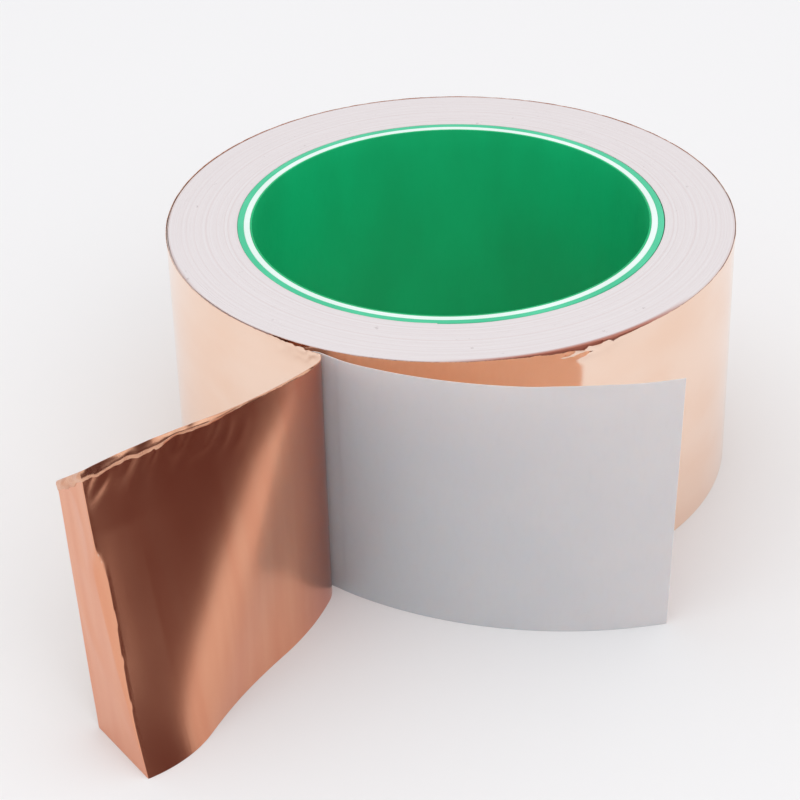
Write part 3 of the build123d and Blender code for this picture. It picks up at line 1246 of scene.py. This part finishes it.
# %% [markdown]
# ## Floor and light
#
# The stage is a plain pale floor under even, soft studio light. A pale world lights it from all
# round, and two broad panels, overhead and in front, make the soft shadows. The floor is a wide disc
# just under the roll, so that it has no corners and looks the same from every side.

# %% The floor
FLOOR_RADIUS = 4.0
FLOOR_SIDES = 96
FLOOR_DROP = 0.02 * MM


def floor_finish():
    finish = Finish("floor_pale", metallic=0.0)
    cloudy = finish.cloud((3, 3, 3), 2.0)
    colour = finish.blend(cloudy, (0.90, 0.895, 0.90, 1), (0.885, 0.875, 0.875, 1))
    return finish.use(base_color=colour, roughness=0.7 + cloudy * 0.1)


def floor_disc(radius):
    rim = [2 * math.pi * k / FLOOR_SIDES for k in range(FLOOR_SIDES)]
    vertices = [(0, 0, 0)] + [(radius * math.cos(a), radius * math.sin(a), 0) for a in rim]
    faces = [(0, k + 1, (k + 1) % FLOOR_SIDES + 1) for k in range(FLOOR_SIDES)]
    return finished_mesh("floor", vertices, faces, [floor_finish()])


floor = floor_disc(FLOOR_RADIUS)
floor.location.z = -FLOOR_DROP
print("floor radius, m:", FLOOR_RADIUS)

# %% Soft panels and the pale world
LOOK_AT = Vector((0, -0.02, 0.02))


def panel(name, place, size, power):
    """A rectangular soft light that faces the middle of the roll."""
    light = bpy.data.lights.new(name, "AREA")
    light.shape, light.size, light.size_y = "RECTANGLE", size[0], size[1]
    light.energy = power
    lamp = bpy.data.objects.new(name, light)
    bpy.context.scene.collection.objects.link(lamp)
    lamp.location = place
    lamp.rotation_euler = (LOOK_AT - Vector(place)).to_track_quat("-Z", "Y").to_euler()


panel("overhead", (-0.1, 0.1, 1.1), (1.2, 1.0), 1.2)
panel("front_fill", (0.4, -0.8, 0.8), (0.9, 0.9), 2.6)
world = bpy.data.worlds.new("studio")
world.use_nodes = True
backdrop = world.node_tree.nodes["Background"]
backdrop.inputs["Color"].default_value = (0.96, 0.965, 0.98, 1)
backdrop.inputs["Strength"].default_value = 0.91
bpy.context.scene.world = world
bpy.context.scene.view_settings.view_transform = "Standard"
print("world strength:", round(backdrop.inputs["Strength"].default_value, 2))

# %% [markdown]
# In an all-white studio a near mirror shows nothing but white. So shiny things are lit with dark
# cards round them, which their curves mirror. This card goes round the front of the roll, and only
# reflections see it: it throws no shadow and takes no light away.

# %% A dark card for the foil to mirror
CARD_STEP = 8  # degrees from one upright line of the card to the next


def dark_card(name, distance, first, last, top, tone):
    """A curved card that stands on the floor between two directions from the roll's axis."""
    finish = Finish("card_dark", roughness=1.0)
    finish.use(base_color=(0.0, 0.0, 0.0, 1.0), emission_color=(*tone, 1.0))
    finish.socket("emission_strength").default_value = 1.0
    angles = np.arange(first, last + 1, CARD_STEP)
    foot = [(*(direction(angle) * distance), 0.0) for angle in angles]
    vertices = foot + [(x, y, top) for x, y, _ in foot]
    count = len(foot)
    faces = [(k + 1, k, k + count, k + 1 + count) for k in range(count - 1)]
    card = finished_mesh(name, vertices, faces, [finish.material])
    card.visible_camera = card.visible_diffuse = card.visible_shadow = False
    print(name, "goes from", first, "to", last, "degrees,", round(distance / MM), "mm out")


dark_card("dark_card", 0.27, -117, 14, 0.42, (0.10, 0.034, 0.032))

# %% [markdown]
# ## Camera
#
# A long lens looks down at the roll from the front, turned and tilted by a degree or two. Three
# angles give its axes, and the axes are the columns of its matrix.

# %% The camera
CAMERA_PLACE = (0.0, -404.33 * MM, 261.37 * MM)
LENS_MM, SENSOR_MM = 106.53, 36.0
LOOK_YAW, LOOK_DOWN, LOOK_ROLL = (math.radians(angle) for angle in (-1.501, 32.017, -1.507))
forward = Vector((
    math.sin(LOOK_YAW) * math.cos(LOOK_DOWN),
    math.cos(LOOK_YAW) * math.cos(LOOK_DOWN),
    -math.sin(LOOK_DOWN),
))
level_right = Vector((math.cos(LOOK_YAW), -math.sin(LOOK_YAW), 0))
level_up = level_right.cross(forward)
right = level_right * math.cos(LOOK_ROLL) + level_up * math.sin(LOOK_ROLL)
up = level_up * math.cos(LOOK_ROLL) - level_right * math.sin(LOOK_ROLL)
lens = bpy.data.cameras.new("camera")
lens.lens, lens.sensor_width = LENS_MM, SENSOR_MM
lens.clip_start, lens.clip_end = 0.01, 20.0
camera = bpy.data.objects.new("camera", lens)
turned_axes = Matrix((right, up, -forward)).transposed().to_4x4()
camera.matrix_world = Matrix.Translation(CAMERA_PLACE) @ turned_axes
bpy.context.scene.collection.objects.link(camera)
bpy.context.scene.camera = camera
print("camera distance, mm:", round(camera.location.length / MM, 1))
